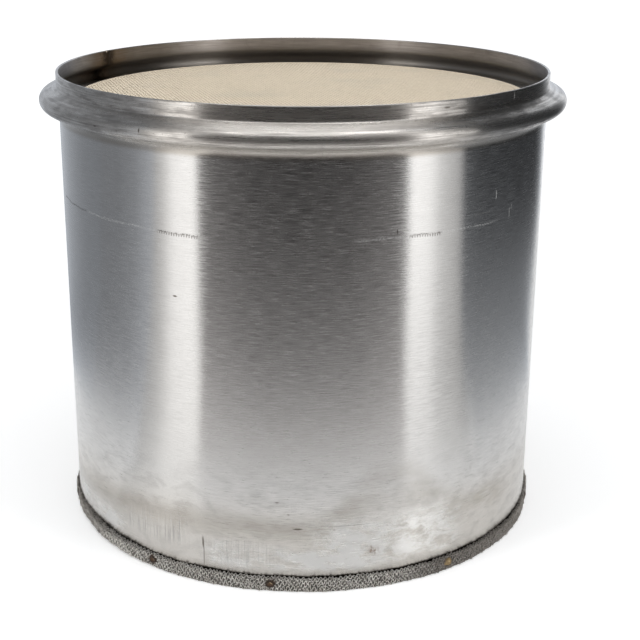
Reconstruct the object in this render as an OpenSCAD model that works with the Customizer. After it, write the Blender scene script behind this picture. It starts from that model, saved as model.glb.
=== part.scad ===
/* [Filter body] */
// Diameter of the ceramic honeycomb
comb_d = 266.7; // [200:0.1:330]
// Length of the ceramic honeycomb
comb_l = 241.3; // [150:0.1:360]
// Thickness of the honeycomb's closed outer skin
skin_t = 2.4; // [1.5:0.1:5]
// Spacing of the honeycomb's square channels
cell_pitch = 13; // [11:0.5:30]
// Thickness of the wall between two channels
cell_wall = 2; // [1:0.1:4]
// Length of the cement plug that closes every other channel at each end
plug_l = 10; // [5:0.5:25]
// Turn of the channel grid about the axis
cell_turn = -28; // [-45:1:45]

/* [Mounting mat] */
// Thickness of the fibre mat between honeycomb and can
mat_t = 7.15; // [3:0.05:15]
// Distance from each end of the honeycomb to the mat's edge
mat_inset = 14; // [4:0.5:40]
// Slack between the mat and what it is wrapped on and pressed into
mat_slack = 0.1; // [0.05:0.05:0.5]
// Width of the open joint where the mat's ends meet
mat_joint = 1.2; // [0.5:0.1:4]
// Step of the mat's tongue-and-groove joint around the can
tongue_step = 36; // [15:1:60]

/* [Can] */
// Thickness of the can's sheet steel
wall_t = 1.5; // [0.8:0.1:3]
// Depth of the honeycomb's inlet face below the lip
inlet_recess = 15.8; // [5:0.1:40]
// Depth of the honeycomb's outlet face above the can's lower edge
outlet_recess = 8.9; // [4:0.1:40]
// Height of the lip's straight part
lip_h = 7.2; // [3:0.1:20]
// How much further out the lip stands than the body
lip_out = 1; // [0:0.1:3]
// How far the rolled bead stands out from the body
bead_out = 11; // [9:0.5:18]
// Height of the rolled bead over its nose
bead_h = 9.4; // [6:0.1:12]
// Downward slope of the bead's upper face
bead_slope = 23; // [0:1:35]
// Radius of the inside corner between lip and bead
neck_r = 1.4; // [0.5:0.1:5]
// Radius of the sweep from the bead's underside into the body
sweep_r = 6.3; // [3:0.1:12]

/* [Seam weld] */
// Width of the lengthwise weld seam
seam_w = 3; // [1:0.1:8]
// Height of the seam above the sheet's outer face
seam_h = 0.25; // [0.1:0.05:0.6]
// Place of the seam round the can
seam_at = 151; // [0:1:359]
// Depth of the nick that the seam leaves in the lip's edge
nick_depth = 0.8; // [0.2:0.1:3]

/* [Mesh gasket] */
// Radial thickness of the knitted wire ring
gasket_t = 2.5; // [1.5:0.1:8]
// Height of the knitted wire ring
gasket_h = 8.7; // [5:0.1:20]
// Slack between the wire ring and the can
gasket_slack = 0.3; // [0.1:0.1:1]
// Rows of stitches up the ring
stitch_rows = 4; // [2:1:6]
// Stitches round the ring in each row of gaps
stitch_count = 40; // [20:1:60]
// Depth of the grooves between the rows
stitch_groove = 0.5; // [0.2:0.1:1]
// Width of the gap in a stitch along its rising wire
gap_rise = 1.9; // [0.8:0.1:3]
// Width of the gap in a stitch along its falling wire
gap_fall = 1.5; // [0.8:0.1:3]
// Depth of the gap in a stitch
gap_depth = 1.1; // [0.3:0.1:1.4]
// Diameter of a tack weld
tack_d = 5.4; // [3:0.1:8]
// Depth of a tack weld below the ring's outer face
tack_sink = 0.6; // [0.2:0.1:1.2]
// Slack between a tack weld and the wires and sheet around it
tack_slack = 0.1; // [0.05:0.05:0.3]

/* [Hidden] */
$fn = 96;

// Overlap of cutting shapes past the faces they cut
over = 1;

// Sides of a large round that a short piece is cut back to
fine_fn = 720;

// Levels and radii that follow from the driving sizes
comb_r = comb_d / 2;
body_r = comb_r + mat_t + wall_t;
lip_r = body_r + lip_out;
can_h = outlet_recess + comb_l + inlet_recess;
inlet_z = outlet_recess + comb_l;

// Bead: nose circle, sweep circle below it and neck circle above it
nose_r = bead_h / 2;
nose_x = body_r + bead_out - nose_r;
sweep = min(sweep_r, bead_out - nose_r);
neck_x = lip_r + neck_r;
neck_z = can_h - lip_h;
nose_z = neck_z - (nose_r + neck_r - (neck_x - nose_x) * sin(bead_slope)) / cos(bead_slope);
under_z = nose_z - nose_r;

// Segments of the arcs in the can's section
sweep_steps = 8;
nose_steps = 12;
neck_steps = 5;

// Points of an arc from one angle to another
function arc(x, z, r, from, to, steps) =
    [for (i = [0 : steps]) let (a = from + (to - from) * i / steps) [x + r * cos(a), z + r * sin(a)]];

// Section line of the can at a depth below its outer skin, from the lower edge to the lip
function skin_line(depth) = concat(
    [[body_r - depth, 0]],
    arc(body_r + sweep, under_z - sweep, sweep + depth, 180, 90, sweep_steps),
    arc(nose_x, nose_z, nose_r - depth, -90, 90 - bead_slope, nose_steps),
    arc(neck_x, neck_z, neck_r + depth, 270 - bead_slope, 180, neck_steps),
    [[lip_r - depth, can_h]]
);

function reversed(list) = [for (i = [len(list) - 1 : -1 : 0]) list[i]];

// Section of the can's sheet between two depths below its outer skin
module sheet_section(from_depth, to_depth) {
    polygon(concat(skin_line(from_depth), reversed(skin_line(to_depth))));
}

// Can: rolled sheet with a lip, a bead and a lengthwise seam
module can_shell() {
    seam_turn = seam_w / body_r * 180 / PI;
    color("silver")
    difference() {
        union() {
            rotate_extrude() sheet_section(0, wall_t);
            rotate([0, 0, seam_at - seam_turn / 2])
                rotate_extrude(angle = seam_turn) sheet_section(-seam_h, wall_t / 2);
        }
        rotate([0, 0, seam_at + seam_turn / 2])
            translate([lip_r - wall_t / 2, 0, can_h])
                rotate([0, 90, 0])
                    cylinder(r = nick_depth, h = wall_t + 2 * seam_h + over, center = true, $fn = 4);
    }
}

// Channels: grid places that lie wholly inside the skin
cell_open = cell_pitch - cell_wall;
core_r = comb_r - skin_t;
grid_n = ceil(core_r / cell_pitch);
function corner_reach(i, j) =
    norm([abs(i) * cell_pitch + cell_open / 2, abs(j) * cell_pitch + cell_open / 2]);
cells = [for (i = [-grid_n : grid_n], j = [-grid_n : grid_n]) if (corner_reach(i, j) <= core_r) [i, j]];
function is_odd(cell) = abs(cell[0] + cell[1]) % 2 == 1;

module cell_squares(places) {
    rotate([0, 0, cell_turn])
        for (c = places) translate(c * cell_pitch) square(cell_open, center = true);
}

// Substrate: extruded honeycomb with channels from face to face
module substrate() {
    color("wheat")
    translate([0, 0, outlet_recess])
        linear_extrude(comb_l)
            difference() {
                circle(comb_r);
                cell_squares(cells);
            }
}

// Plugs in the channels that are closed at the inlet face
module inlet_plugs() {
    color("tan")
    translate([0, 0, inlet_z - plug_l])
        linear_extrude(plug_l) cell_squares([for (c = cells) if (is_odd(c)) c]);
}

// Plugs in the channels that are closed at the outlet face
module outlet_plugs() {
    color("tan")
    translate([0, 0, outlet_recess])
        linear_extrude(plug_l) cell_squares([for (c = cells) if (!is_odd(c)) c]);
}

// Mat: wrapped fibre sheet whose ends meet in a tongue and a groove
mat_in = comb_r + mat_slack;
mat_out = comb_r + mat_t - mat_slack;
mat_l = comb_l - 2 * mat_inset;
module mat_joint_line() {
    h = mat_joint / 2;
    low = mat_l / 3;
    high = mat_l * 2 / 3;
    polygon([[h, -over], [h, low + h], [h - tongue_step, low + h], [h - tongue_step, high - h],
        [h, high - h], [h, mat_l + over], [-h, mat_l + over], [-h, high + h],
        [-h - tongue_step, high + h], [-h - tongue_step, low - h], [-h, low - h], [-h, -over]]);
}

module mounting_mat() {
    color("gainsboro")
    translate([0, 0, outlet_recess + mat_inset])
        difference() {
            rotate_extrude() translate([mat_in, 0]) square([mat_out - mat_in, mat_l]);
            rotate([90, 0, seam_at - 90]) linear_extrude(mat_out + over) mat_joint_line();
        }
}

// Gasket: knitted wire ring round the can's lower end
gasket_in = body_r + gasket_slack;
gasket_out = gasket_in + gasket_t;
row_h = gasket_h / stitch_rows;
row_steps = 4;
tack_z = gasket_h / 2;
// Places of the tack welds round the can, counted from the seam
tack_at = [12, 42, 83, 112, 154, 195, 235, 277, 319];

module gasket_section() {
    polygon(concat(
        [[gasket_in, 0]],
        [for (k = [0 : stitch_rows - 1], i = [0 : row_steps]) if (k == 0 || i > 0)
            [gasket_out - stitch_groove * (1 - sin(180 * i / row_steps)), (k + i / row_steps) * row_h]],
        [[gasket_in, gasket_h]]
    ));
}

module mesh_gasket() {
    turn = 360 / stitch_count;
    gap_lead = 1 / 4;
    color("dimgray")
    difference() {
        rotate_extrude() gasket_section();
        for (k = [1 : stitch_rows - 1], i = [0 : stitch_count - 1])
            rotate([0, 0, (i + gap_lead + k % 2 / 2) * turn])
                translate([gasket_out, 0, k * row_h])
                    rotate([45, 0, 0])
                        cube([2 * gap_depth, gap_rise, gap_fall], center = true);
        for (a = tack_at) tack_post(a, tack_d / 2 + tack_slack, gasket_out + over);
    }
}

// Round post that stands out of the can through the wire ring
module tack_post(a, r, reach) {
    rotate([0, 0, seam_at + a])
        translate([body_r - over, 0, tack_z])
            rotate([0, 90, 0]) cylinder(r = r, h = reach - body_r + over);
}

// Tack welds that hold the wire ring to the can
module gasket_tack_welds() {
    color("saddlebrown")
    difference() {
        for (a = tack_at) tack_post(a, tack_d / 2, gasket_out - tack_sink);
        translate([0, 0, -over])
            cylinder(r = body_r + tack_slack, h = gasket_h + 2 * over, $fn = fine_fn);
    }
}

can_shell();
substrate();
inlet_plugs();
outlet_plugs();
mounting_mat();
mesh_gasket();
gasket_tack_welds();
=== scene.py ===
import math

import bpy
import numpy as np
from mathutils import Matrix, Vector


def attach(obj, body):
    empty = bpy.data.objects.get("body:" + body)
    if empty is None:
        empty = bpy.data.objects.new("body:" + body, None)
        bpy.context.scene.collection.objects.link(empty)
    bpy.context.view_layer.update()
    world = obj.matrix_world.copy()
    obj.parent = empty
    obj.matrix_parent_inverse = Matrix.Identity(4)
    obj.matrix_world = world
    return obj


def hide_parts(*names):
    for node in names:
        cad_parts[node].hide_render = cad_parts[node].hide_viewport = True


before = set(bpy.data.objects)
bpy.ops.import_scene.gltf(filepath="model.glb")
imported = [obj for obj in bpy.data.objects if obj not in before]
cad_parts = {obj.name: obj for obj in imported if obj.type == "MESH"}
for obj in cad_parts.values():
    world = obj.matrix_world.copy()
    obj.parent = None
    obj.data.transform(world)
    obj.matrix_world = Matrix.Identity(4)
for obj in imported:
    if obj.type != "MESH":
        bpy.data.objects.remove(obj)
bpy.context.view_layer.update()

MM = 0.001

# Sizes of the part in millimetres, as in its source
COMB_R = 133.35
COMB_L = 241.3
OUTLET_RECESS = 8.9
INLET_RECESS = 15.8
MAT_T = 7.15
WALL_T = 1.5
LIP_H = 7.2
LIP_OUT = 1.0
BEAD_OUT = 11.0
BEAD_H = 9.4
BEAD_SLOPE = 23.0
NECK_R = 1.4
SWEEP_R = 6.3
SEAM_AT = 151.0
SEAM_W = 3.0
SEAM_H = 0.25
NICK_DEPTH = 0.8
GASKET_SLACK = 0.3
GASKET_T = 2.5
GASKET_H = 8.7
TACK_D = 5.4
TACK_SINK = 0.6
TACK_AT = (12, 42, 83, 112, 154, 195, 235, 277, 319)
CELL_TURN = -28.0

BODY_R = COMB_R + MAT_T + WALL_T
LIP_R = BODY_R + LIP_OUT
CAN_H = OUTLET_RECESS + COMB_L + INLET_RECESS
INLET_Z = OUTLET_RECESS + COMB_L
NOSE_R = BEAD_H / 2
NOSE_X = BODY_R + BEAD_OUT - NOSE_R
SWEEP = min(SWEEP_R, BEAD_OUT - NOSE_R)
NECK_X = LIP_R + NECK_R
NECK_Z = CAN_H - LIP_H
SLOPE = math.radians(BEAD_SLOPE)
NOSE_Z = NECK_Z - (NOSE_R + NECK_R - (NECK_X - NOSE_X) * math.sin(SLOPE)) / math.cos(SLOPE)
UNDER_Z = NOSE_Z - NOSE_R
GASKET_IN = BODY_R + GASKET_SLACK
GASKET_OUT = GASKET_IN + GASKET_T
RING_TOP = GASKET_H - CAN_H
TACK_Z = GASKET_H / 2
TACK_ANGLES = [math.radians(SEAM_AT + a) for a in TACK_AT]

# Real honeycomb: 300 square channels to the square inch
CELL_PITCH = 1.488
CELL_HOLE = 1.2
CELL_DEPTH = 7.0
SKIN_T = 2.6


# Camera and light

CAM_PLACE = (-0.0032, -0.77413, 0.37132)
CAM_PITCH = 18.749
CAM_ROLL = 0.131
CAM_LENS = 73.58
CAM_SENSOR = 36.0
CAM_SHIFT_X = 0.0363
CAM_REACH = 50.0


def make_camera():
    data = bpy.data.cameras.new("camera")
    data.lens = CAM_LENS
    data.sensor_width = CAM_SENSOR
    data.shift_x = CAM_SHIFT_X
    data.clip_end = CAM_REACH
    cam = bpy.data.objects.new("camera", data)
    bpy.context.scene.collection.objects.link(cam)
    pitch = Matrix.Rotation(math.radians(90 - CAM_PITCH), 4, "X")
    roll = Matrix.Rotation(math.radians(CAM_ROLL), 4, "Z")
    cam.matrix_world = Matrix.Translation(CAM_PLACE) @ (pitch @ roll)
    bpy.context.scene.camera = cam


def area_light(name, place, target, width, height, radiance):
    data = bpy.data.lights.new(name, "AREA")
    data.shape = "RECTANGLE"
    data.size = width
    data.size_y = height
    data.energy = radiance * math.pi * width * height
    lamp = bpy.data.objects.new(name, data)
    bpy.context.scene.collection.objects.link(lamp)
    lamp.location = place
    lamp.rotation_euler = (Vector(target) - Vector(place)).to_track_quat("-Z", "Y").to_euler()
    return lamp


# Node helpers

def arc_mm(angle):
    """Length round the can, from opposite the seam, of an angle counted from +X in degrees."""
    turned = (angle + 180 - SEAM_AT + 180) % 360 - 180
    return math.radians(turned) * BODY_R


class Tree:
    """Node tree of a material or a world, with short calls."""

    def __init__(self, owner, output="OutputMaterial"):
        owner.use_nodes = True
        self.owner = owner
        self.nodes = owner.node_tree.nodes
        self.links = owner.node_tree.links
        self.nodes.clear()
        self.out = self.nodes.new("ShaderNode" + output)

    def add(self, kind, inputs=(), **settings):
        """New node with settings, and with inputs that are linked or set to a constant."""
        node = self.nodes.new("ShaderNode" + kind)
        for key, value in settings.items():
            setattr(node, key, value)
        for key, value in dict(inputs).items():
            socket = node.inputs[key]
            if isinstance(value, bpy.types.NodeSocket):
                self.links.new(value, socket)
            else:
                socket.default_value = value
        return node

    def math(self, op, a, b=0.0, c=0.0, clamp=False):
        return self.add("Math", {0: a, 1: b, 2: c}, operation=op, use_clamp=clamp).outputs[0]

    def times(self, result, *factors):
        for factor in factors:
            result = self.math("MULTIPLY", result, factor)
        return result

    def plus(self, a, b):
        return self.math("ADD", a, b)

    def minus(self, a, b):
        return self.math("SUBTRACT", a, b)

    def most(self, a, b):
        return self.math("MAXIMUM", a, b)

    def scaled(self, value, gain, start):
        return self.math("MULTIPLY_ADD", value, gain, start)

    def line(self, value, low, high, to_low=0.0, to_high=1.0, shape="LINEAR"):
        """Value carried from one range to another, and held at its ends."""
        ins = {"Value": value, "From Min": low, "From Max": high, "To Min": to_low, "To Max": to_high}
        return self.add("MapRange", ins, interpolation_type=shape).outputs[0]

    def step(self, value, low, high, to_low=0.0, to_high=1.0):
        """The same with soft ends."""
        return self.line(value, low, high, to_low, to_high, "SMOOTHSTEP")

    def band(self, value, low, high, soft):
        """1 between two values with soft edges."""
        up = self.step(value, low - soft, low + soft)
        down = self.step(value, high - soft, high + soft, 1.0, 0.0)
        return self.times(up, down)

    def noise(self, vector, scale, detail, rough, distortion=0.0):
        ins = {"Vector": vector, "Scale": scale, "Detail": detail, "Roughness": rough}
        return self.add("TexNoise", {**ins, "Distortion": distortion}).outputs[0]

    def mix(self, fac, a, b, blend="MIX"):
        settings = {"data_type": "RGBA", "blend_type": blend, "clamp_factor": True}
        return self.add("Mix", {0: fac, 6: a, 7: b}, **settings).outputs[2]

    def bump(self, height, strength, distance, **normal):
        ins = {"Height": height, "Strength": strength, "Distance": distance, **normal}
        return self.add("Bump", ins).outputs[0]

    def vector(self, op, a, inputs=()):
        return self.add("VectorMath", {0: a, **dict(inputs)}, operation=op).outputs

    def turned(self, place, degrees):
        ins = {"Vector": place, "Angle": math.radians(degrees)}
        return self.add("VectorRotate", ins, rotation_type="Z_AXIS").outputs[0]

    def attribute(self, name):
        return self.add("Attribute", attribute_name=name).outputs["Fac"]

    def object_mm(self):
        """Place on the object in millimetres, and its height."""
        place = self.vector("SCALE", self.add("TexCoord").outputs["Object"], {"Scale": 1 / MM})[0]
        return place, self.add("SeparateXYZ", {0: place}).outputs[2]

    def seen(self):
        """1 for rays from the camera, from metal and through clear material."""
        path = self.add("LightPath").outputs
        return self.most(self.most(path["Is Camera Ray"], path["Is Glossy Ray"]), path["Is Transmission Ray"])

    def surface(self, shader):
        self.links.new(shader.outputs[0], self.out.inputs["Surface"])
        return self.owner

    def principled(self, **inputs):
        """Finished material. A socket's name is written with _ for each space."""
        ins = {key.replace("_", " "): value for key, value in inputs.items()}
        return self.surface(self.add("BsdfPrincipled", ins))


def new_material(name):
    return Tree(bpy.data.materials.new(name))


class Wall(Tree):
    """Tree of a material on the can: s is the length round it, v the height from the lip."""

    def __init__(self, name):
        super().__init__(bpy.data.materials.new(name))
        self.place, z = self.object_mm()
        parts = self.add("SeparateXYZ", {0: self.turned(self.place, 180 - SEAM_AT)}).outputs
        self.s = self.times(self.math("ARCTAN2", parts[1], parts[0]), BODY_R)
        self.v = self.minus(z, CAN_H)

    def sector(self, start, end, soft):
        """1 between two angles round the can, with soft edges in millimetres."""
        return self.band(self.s, arc_mm(start), arc_mm(end), soft)

    def sweep(self, start, end, to_start, to_end):
        """Soft change from one angle round the can to another."""
        return self.step(self.s, arc_mm(start), arc_mm(end), to_start, to_end)

    def streaks(self, length, height, seed, detail, rough, distortion=0.0):
        """Noise drawn out round the can, with streaks of a length and a height in millimetres."""
        ins = {0: self.math("DIVIDE", self.s, length), 1: self.math("DIVIDE", self.v, height), 2: seed}
        return self.noise(self.add("CombineXYZ", ins).outputs[0], 1.0, detail, rough, distortion)

    def from_seam(self):
        return self.minus(math.pi * BODY_R, self.math("ABSOLUTE", self.s))

    def brushed(self, anisotropic, **inputs):
        """Finished metal whose brushing runs round the can."""
        tangent = self.add("Tangent", direction_type="RADIAL", axis="Z").outputs[0]
        return self.principled(Anisotropic=anisotropic, Anisotropic_Rotation=0.25, Tangent=tangent, **inputs)


# Colours

STEEL = (0.64, 0.633, 0.622, 1)
STEEL_FAINT = (0.545, 0.537, 0.527, 1)
STEEL_DULL = (0.47, 0.46, 0.45, 1)
STEEL_CLOUD = (0.80, 0.79, 0.77, 1)
STEEL_EVEN = (0.60, 0.593, 0.582, 1)
# Soil on the wall, also used as painted shade above the wire ring and under the bead
STEEL_SOIL_AND_SHADE = (0.42, 0.39, 0.35, 1)
WARM_CAST = (0.96, 0.925, 0.875, 1)
BEAD_CAST = (1.0, 0.965, 0.925, 1)
GRAIN_DARK = (0.33, 0.30, 0.285, 1)
SMEAR_DARK = (0.30, 0.28, 0.265, 1)
RIB_DARK = (0.38, 0.37, 0.36, 1)
SCRATCH = (0.62, 0.62, 0.61, 1)
GRIME = (0.11, 0.09, 0.075, 1)
SHADE_BAND_BROWN = (0.36, 0.335, 0.30, 1)
# Painted shadow where the wall meets the wire ring, and in the gap at the ring's top
FOOT_SHADOW = (0.022, 0.018, 0.012, 1)
RUST = (0.20, 0.12, 0.075, 1)
TINT_AMBER = (0.30, 0.20, 0.11, 1)
TINT_BROWN = (0.20, 0.155, 0.12, 1)
INSIDE_DARK = (0.40, 0.365, 0.345, 1)
INSIDE_PALE = (0.54, 0.505, 0.48, 1)
# Painted shade in the bead's hollow inside the lip, and painted reflection of the comb below it
HOLLOW_SHADE = (0.26, 0.24, 0.22, 1)
HOLLOW_REFLECTION = (0.62, 0.58, 0.53, 1)
WELD_BLACK = (0.055, 0.042, 0.033, 1)
CERAMIC_PALE = (0.92, 0.80, 0.63, 1)
CERAMIC_TAN = (0.76, 0.645, 0.485, 1)
CERAMIC_GREY = (0.74, 0.66, 0.53, 1)
CERAMIC_GRAIN = (0.66, 0.55, 0.40, 1)
# Painted shade deep in the honeycomb's channels
CHANNEL_SHADE = (0.06, 0.045, 0.03, 1)
FIBRE_DARK = (0.34, 0.31, 0.27, 1)
FIBRE_PALE = (0.62, 0.59, 0.54, 1)
FIBRE_BROWN = (0.45, 0.38, 0.29, 1)
WIRE_DULL = (0.46, 0.43, 0.39, 1)
WIRE_BRIGHT = (0.98, 0.95, 0.90, 1)
WIRE_BROWN = (0.36, 0.315, 0.27, 1)
WIRE_SOOT = (0.19, 0.165, 0.14, 1)
# Painted shade on the ring's top next to the can
WIRE_TOP_SHADE = (0.13, 0.115, 0.10, 1)
# Painted shade: darker copies of the wire colour for the core between the loops
CORE_SHADE_DARK = (0.06, 0.054, 0.048, 1)
CORE_SHADE_PALE = (0.34, 0.315, 0.28, 1)
TACK_STAIN = (0.11, 0.068, 0.042, 1)
TACK_PIT = (0.10, 0.058, 0.034, 1)
TACK_SCORCH = (0.035, 0.023, 0.016, 1)
TACK_RIM = (0.13, 0.085, 0.055, 1)
TACK_FLECK = (0.22, 0.14, 0.085, 1)
TACK_STRAW = (0.46, 0.34, 0.17, 1)
GLINT_BROWN = (0.30, 0.21, 0.14, 1)
GLINT_GOLD = (0.62, 0.46, 0.27, 1)
PAPER_DARK = (0.88, 0.88, 0.88, 1)
PAPER_PALE = (0.90, 0.90, 0.90, 1)
SKY = (0.97, 0.985, 1.0, 1)
WHITE = (1, 1, 1, 1)


# Steel of the can

# Marks: angle in degrees, height from the lip, half width, half height in millimetres, softness, strength
DARK_MARKS = (
    (242, -101.9, 1.2, 0.45, 0.4, 0.95),
    (264.5, -213, 1.1, 0.45, 0.5, 0.55),
    (267, -220, 0.7, 0.4, 0.5, 0.5),
    (269, -228.6, 2.3, 0.5, 0.4, 0.9),
    (247.4, -242, 0.4, 3.4, 0.4, 0.95),
    (247.6, -249, 0.35, 8, 0.4, 0.55),
    (237.6, -14.5, 0.4, 1.1, 0.4, 0.9),
    (225.8, -15.8, 1, 0.5, 0.5, 0.6),
    (300, -3.6, 1.8, 0.45, 0.5, 0.8),
    (280, -227.4, 12, 0.22, 0.6, 0.4),
    (289.6, -64.8, 0.35, 1.2, 0.4, 0.8),
)
# Strokes of the small rust smudge
RUST_MARKS = (
    (286, -243.9, 3.2, 2.4, 0.8, 0.35),
    (285.4, -243.4, 0.6, 2.6, 0.5, 0.6),
    (286.3, -244.2, 0.5, 2.2, 0.5, 0.6),
    (285.9, -244.6, 2.6, 0.5, 0.5, 0.5),
)
LIGHT_MARKS = (
    (316, -54, 0.3, 2.4, 0.5, 0.55),
    (321.5, -66, 0.3, 2.6, 0.5, 0.5),
    (322.3, -63, 0.25, 1.6, 0.5, 0.3),
    (320.3, -2.8, 0.3, 2.2, 0.5, 0.4),
    (311, -62, 7, 0.3, 0.6, 0.12),
)
# Smeared soil on the lower right
SOIL_MARKS = (
    (317, -230, 15, 4.5, 0.9, 0.95),
    (323, -236, 10, 4, 0.9, 0.7),
    (306, -230, 9, 9, 0.9, 0.55),
)
# Patches: two angles and their softness, two heights above the wire ring and their softness
CLOUD_RIGHT = (273, 307, 9, 5, 32, 7)
CLOUD_FOOT = (248, 284, 5, 3, 16, 4)
CLOUD_LEFT = (200, 224, 6, 3, 15, 4)
RIBS_LEFT = (226, 244, 3, 11, 26, 4)
RIBS_FRONT = (249, 266, 4, 5, 20, 3)
# Heights above the wire ring over which the lower wall's changes fade
EVEN_FADE = (40, 110)
DULL_FADE = (30, 70)
WARM_FADE = (10, 55)
FOOT_FADE = (14, 26)
# Low band of painted shade: height above the wire ring, what is added in front and on the left, sway and half
# height
BAND_HEIGHT = 24.0
BAND_FRONT = 5.5
BAND_LEFT = -9.0
BAND_SWAY = 3.0
BAND_HALF = 12.0
# Rise of that band on the right, its place in degrees and its half width in millimetres
BAND_RISE = 22.0
BAND_RISE_AT = 290.0
BAND_RISE_HALF = 45.0
# Heights from the lip between which the wall passes into the bead, and of the painted shade under the bead
BEAD_EDGE = (-25, -21)
CAST_EDGE = (-24, -18)
BEAD_UNDER_SHADE = (-27, -19.5)
# Clamp scuff: height from the lip, half height of its line, pitch and length of its teeth
SCUFF_Z = -67.9
SCUFF_HALF = 0.75
SCUFF_PITCH = 1.5
SCUFF_TOOTH = 1.4


def spot(t, angle, low, half_s, half_v, soft):
    """Soft oval mark on the wall."""
    ds = t.math("DIVIDE", t.minus(t.s, arc_mm(angle)), half_s)
    dv = t.math("DIVIDE", t.minus(t.v, low), half_v)
    far = t.math("SQRT", t.plus(t.times(ds, ds), t.times(dv, dv)))
    return t.step(far, 1.0 - soft, 1.0 + soft, 1, 0)


def patch(t, h, start, end, soft_s, low, high, soft_h):
    return t.times(t.sector(start, end, soft_s), t.band(h, low, high, soft_h))


def shade_band(t, h):
    """Soft brown band of painted shade, higher in front and fading upwards on the front right."""
    from_rise = t.math("ABSOLUTE", t.minus(t.s, arc_mm(BAND_RISE_AT)))
    climb = t.step(from_rise, 0, BAND_RISE_HALF, BAND_RISE, 0)
    front = t.plus(t.sweep(226, 250, 0, BAND_FRONT), t.sweep(188, 221, BAND_LEFT, 0))
    sway = t.line(t.streaks(60, 300, 4, 3, 0.6), 0.3, 0.7, -BAND_SWAY, BAND_SWAY)
    middle = t.plus(t.plus(climb, front), t.plus(sway, BAND_HEIGHT))
    off = t.math("DIVIDE", t.math("ABSOLUTE", t.minus(h, middle)), t.scaled(climb, 0.05, 1))
    band = t.step(off, 0.5, BAND_HALF, 1, 0)
    band = t.times(band, t.scaled(climb, -0.017, 0.72), t.sweep(296, 310, 1, 0.5))
    patchy = t.step(t.streaks(48, 15, 2, 4, 0.6), 0.28, 0.62)
    return t.times(band, t.most(patchy, t.sweep(262, 276, 0.8, 0)))


def cloudy_scale(t, h, colour):
    """Pale scale, strong on the front right and weak along the foot and on the left."""
    wipe = t.streaks(17, 9, 8, 9, 0.72, 0.5)
    strong = patch(t, h, *CLOUD_RIGHT)
    weak = t.plus(patch(t, h, *CLOUD_FOOT), t.times(patch(t, h, *CLOUD_LEFT), 0.9))
    strong_cloud = t.times(strong, t.step(wipe, 0.37, 0.60))
    weak_cloud = t.times(weak, t.step(wipe, 0.40, 0.62))
    cloud = t.math("ADD", strong_cloud, weak_cloud, clamp=True)
    colour = t.mix(cloud, colour, STEEL_CLOUD)
    smear = t.times(strong, t.step(wipe, 0.36, 0.5, 1, 0), 0.3)
    return t.mix(smear, colour, STEEL_SOIL_AND_SHADE), cloud


def sizing_ribs(t, h, colour):
    """Upright marks of the sizing tool."""
    ribs = t.streaks(0.8, 26, 9, 2, 0.5)
    left = t.times(patch(t, h, *RIBS_LEFT), 0.9)
    front = t.times(patch(t, h, *RIBS_FRONT), 0.45)
    ribbed = t.plus(left, front)
    colour = t.mix(t.times(ribbed, t.step(ribs, 0.54, 0.66)), colour, RIB_DARK)
    return t.mix(t.times(ribbed, t.step(ribs, 0.36, 0.46, 0.25, 0)), colour, STEEL_CLOUD)


def low_wall(t, colour):
    """Dull steel, soil, painted shade, cloudy scale and upright marks on the lower part of the wall."""
    h = t.minus(t.v, RING_TOP)
    colour = t.mix(t.step(h, *EVEN_FADE, 0.5, 0), colour, STEEL_EVEN)
    mottle = t.streaks(14, 8, 13, 6, 0.64, 0.4)
    dull = t.times(t.step(h, *DULL_FADE, 0.8, 0.15), t.step(mottle, 0.44, 0.66))
    colour = t.mix(dull, colour, STEEL_DULL)
    colour = t.mix(t.step(h, *WARM_FADE, 1, 0), colour, WARM_CAST, "MULTIPLY")
    # Painted shade: soft brown band across the lower wall
    colour = t.mix(shade_band(t, h), colour, SHADE_BAND_BROWN)
    # The foot below the band is duller on the left
    foot = t.times(t.step(h, *FOOT_FADE, 0.4, 0), t.sweep(250, 275, 1, 0.4))
    colour = t.mix(foot, colour, STEEL_DULL)
    blur = t.step(t.streaks(9, 3, 21, 4, 0.6), 0.3, 0.6)
    for *mark, strength in SOIL_MARKS:
        colour = t.mix(t.times(spot(t, *mark), blur, strength), colour, STEEL_SOIL_AND_SHADE)
    colour, cloud = cloudy_scale(t, h, colour)
    colour = sizing_ribs(t, h, colour)
    # Painted shadow: black line where the wall meets the wire ring, with painted shade fading up the wall
    # just above it
    ragged = t.line(t.streaks(7, 40, 6, 3, 0.6), 0.3, 0.7, -0.5, 0.7)
    over_ring = t.minus(h, ragged)
    colour = t.mix(t.step(over_ring, 0.4, 5.5, 0.6, 0), colour, STEEL_SOIL_AND_SHADE)
    return t.mix(t.step(over_ring, -0.6, 0.6, 0.97, 0), colour, FOOT_SHADOW), cloud


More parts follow.
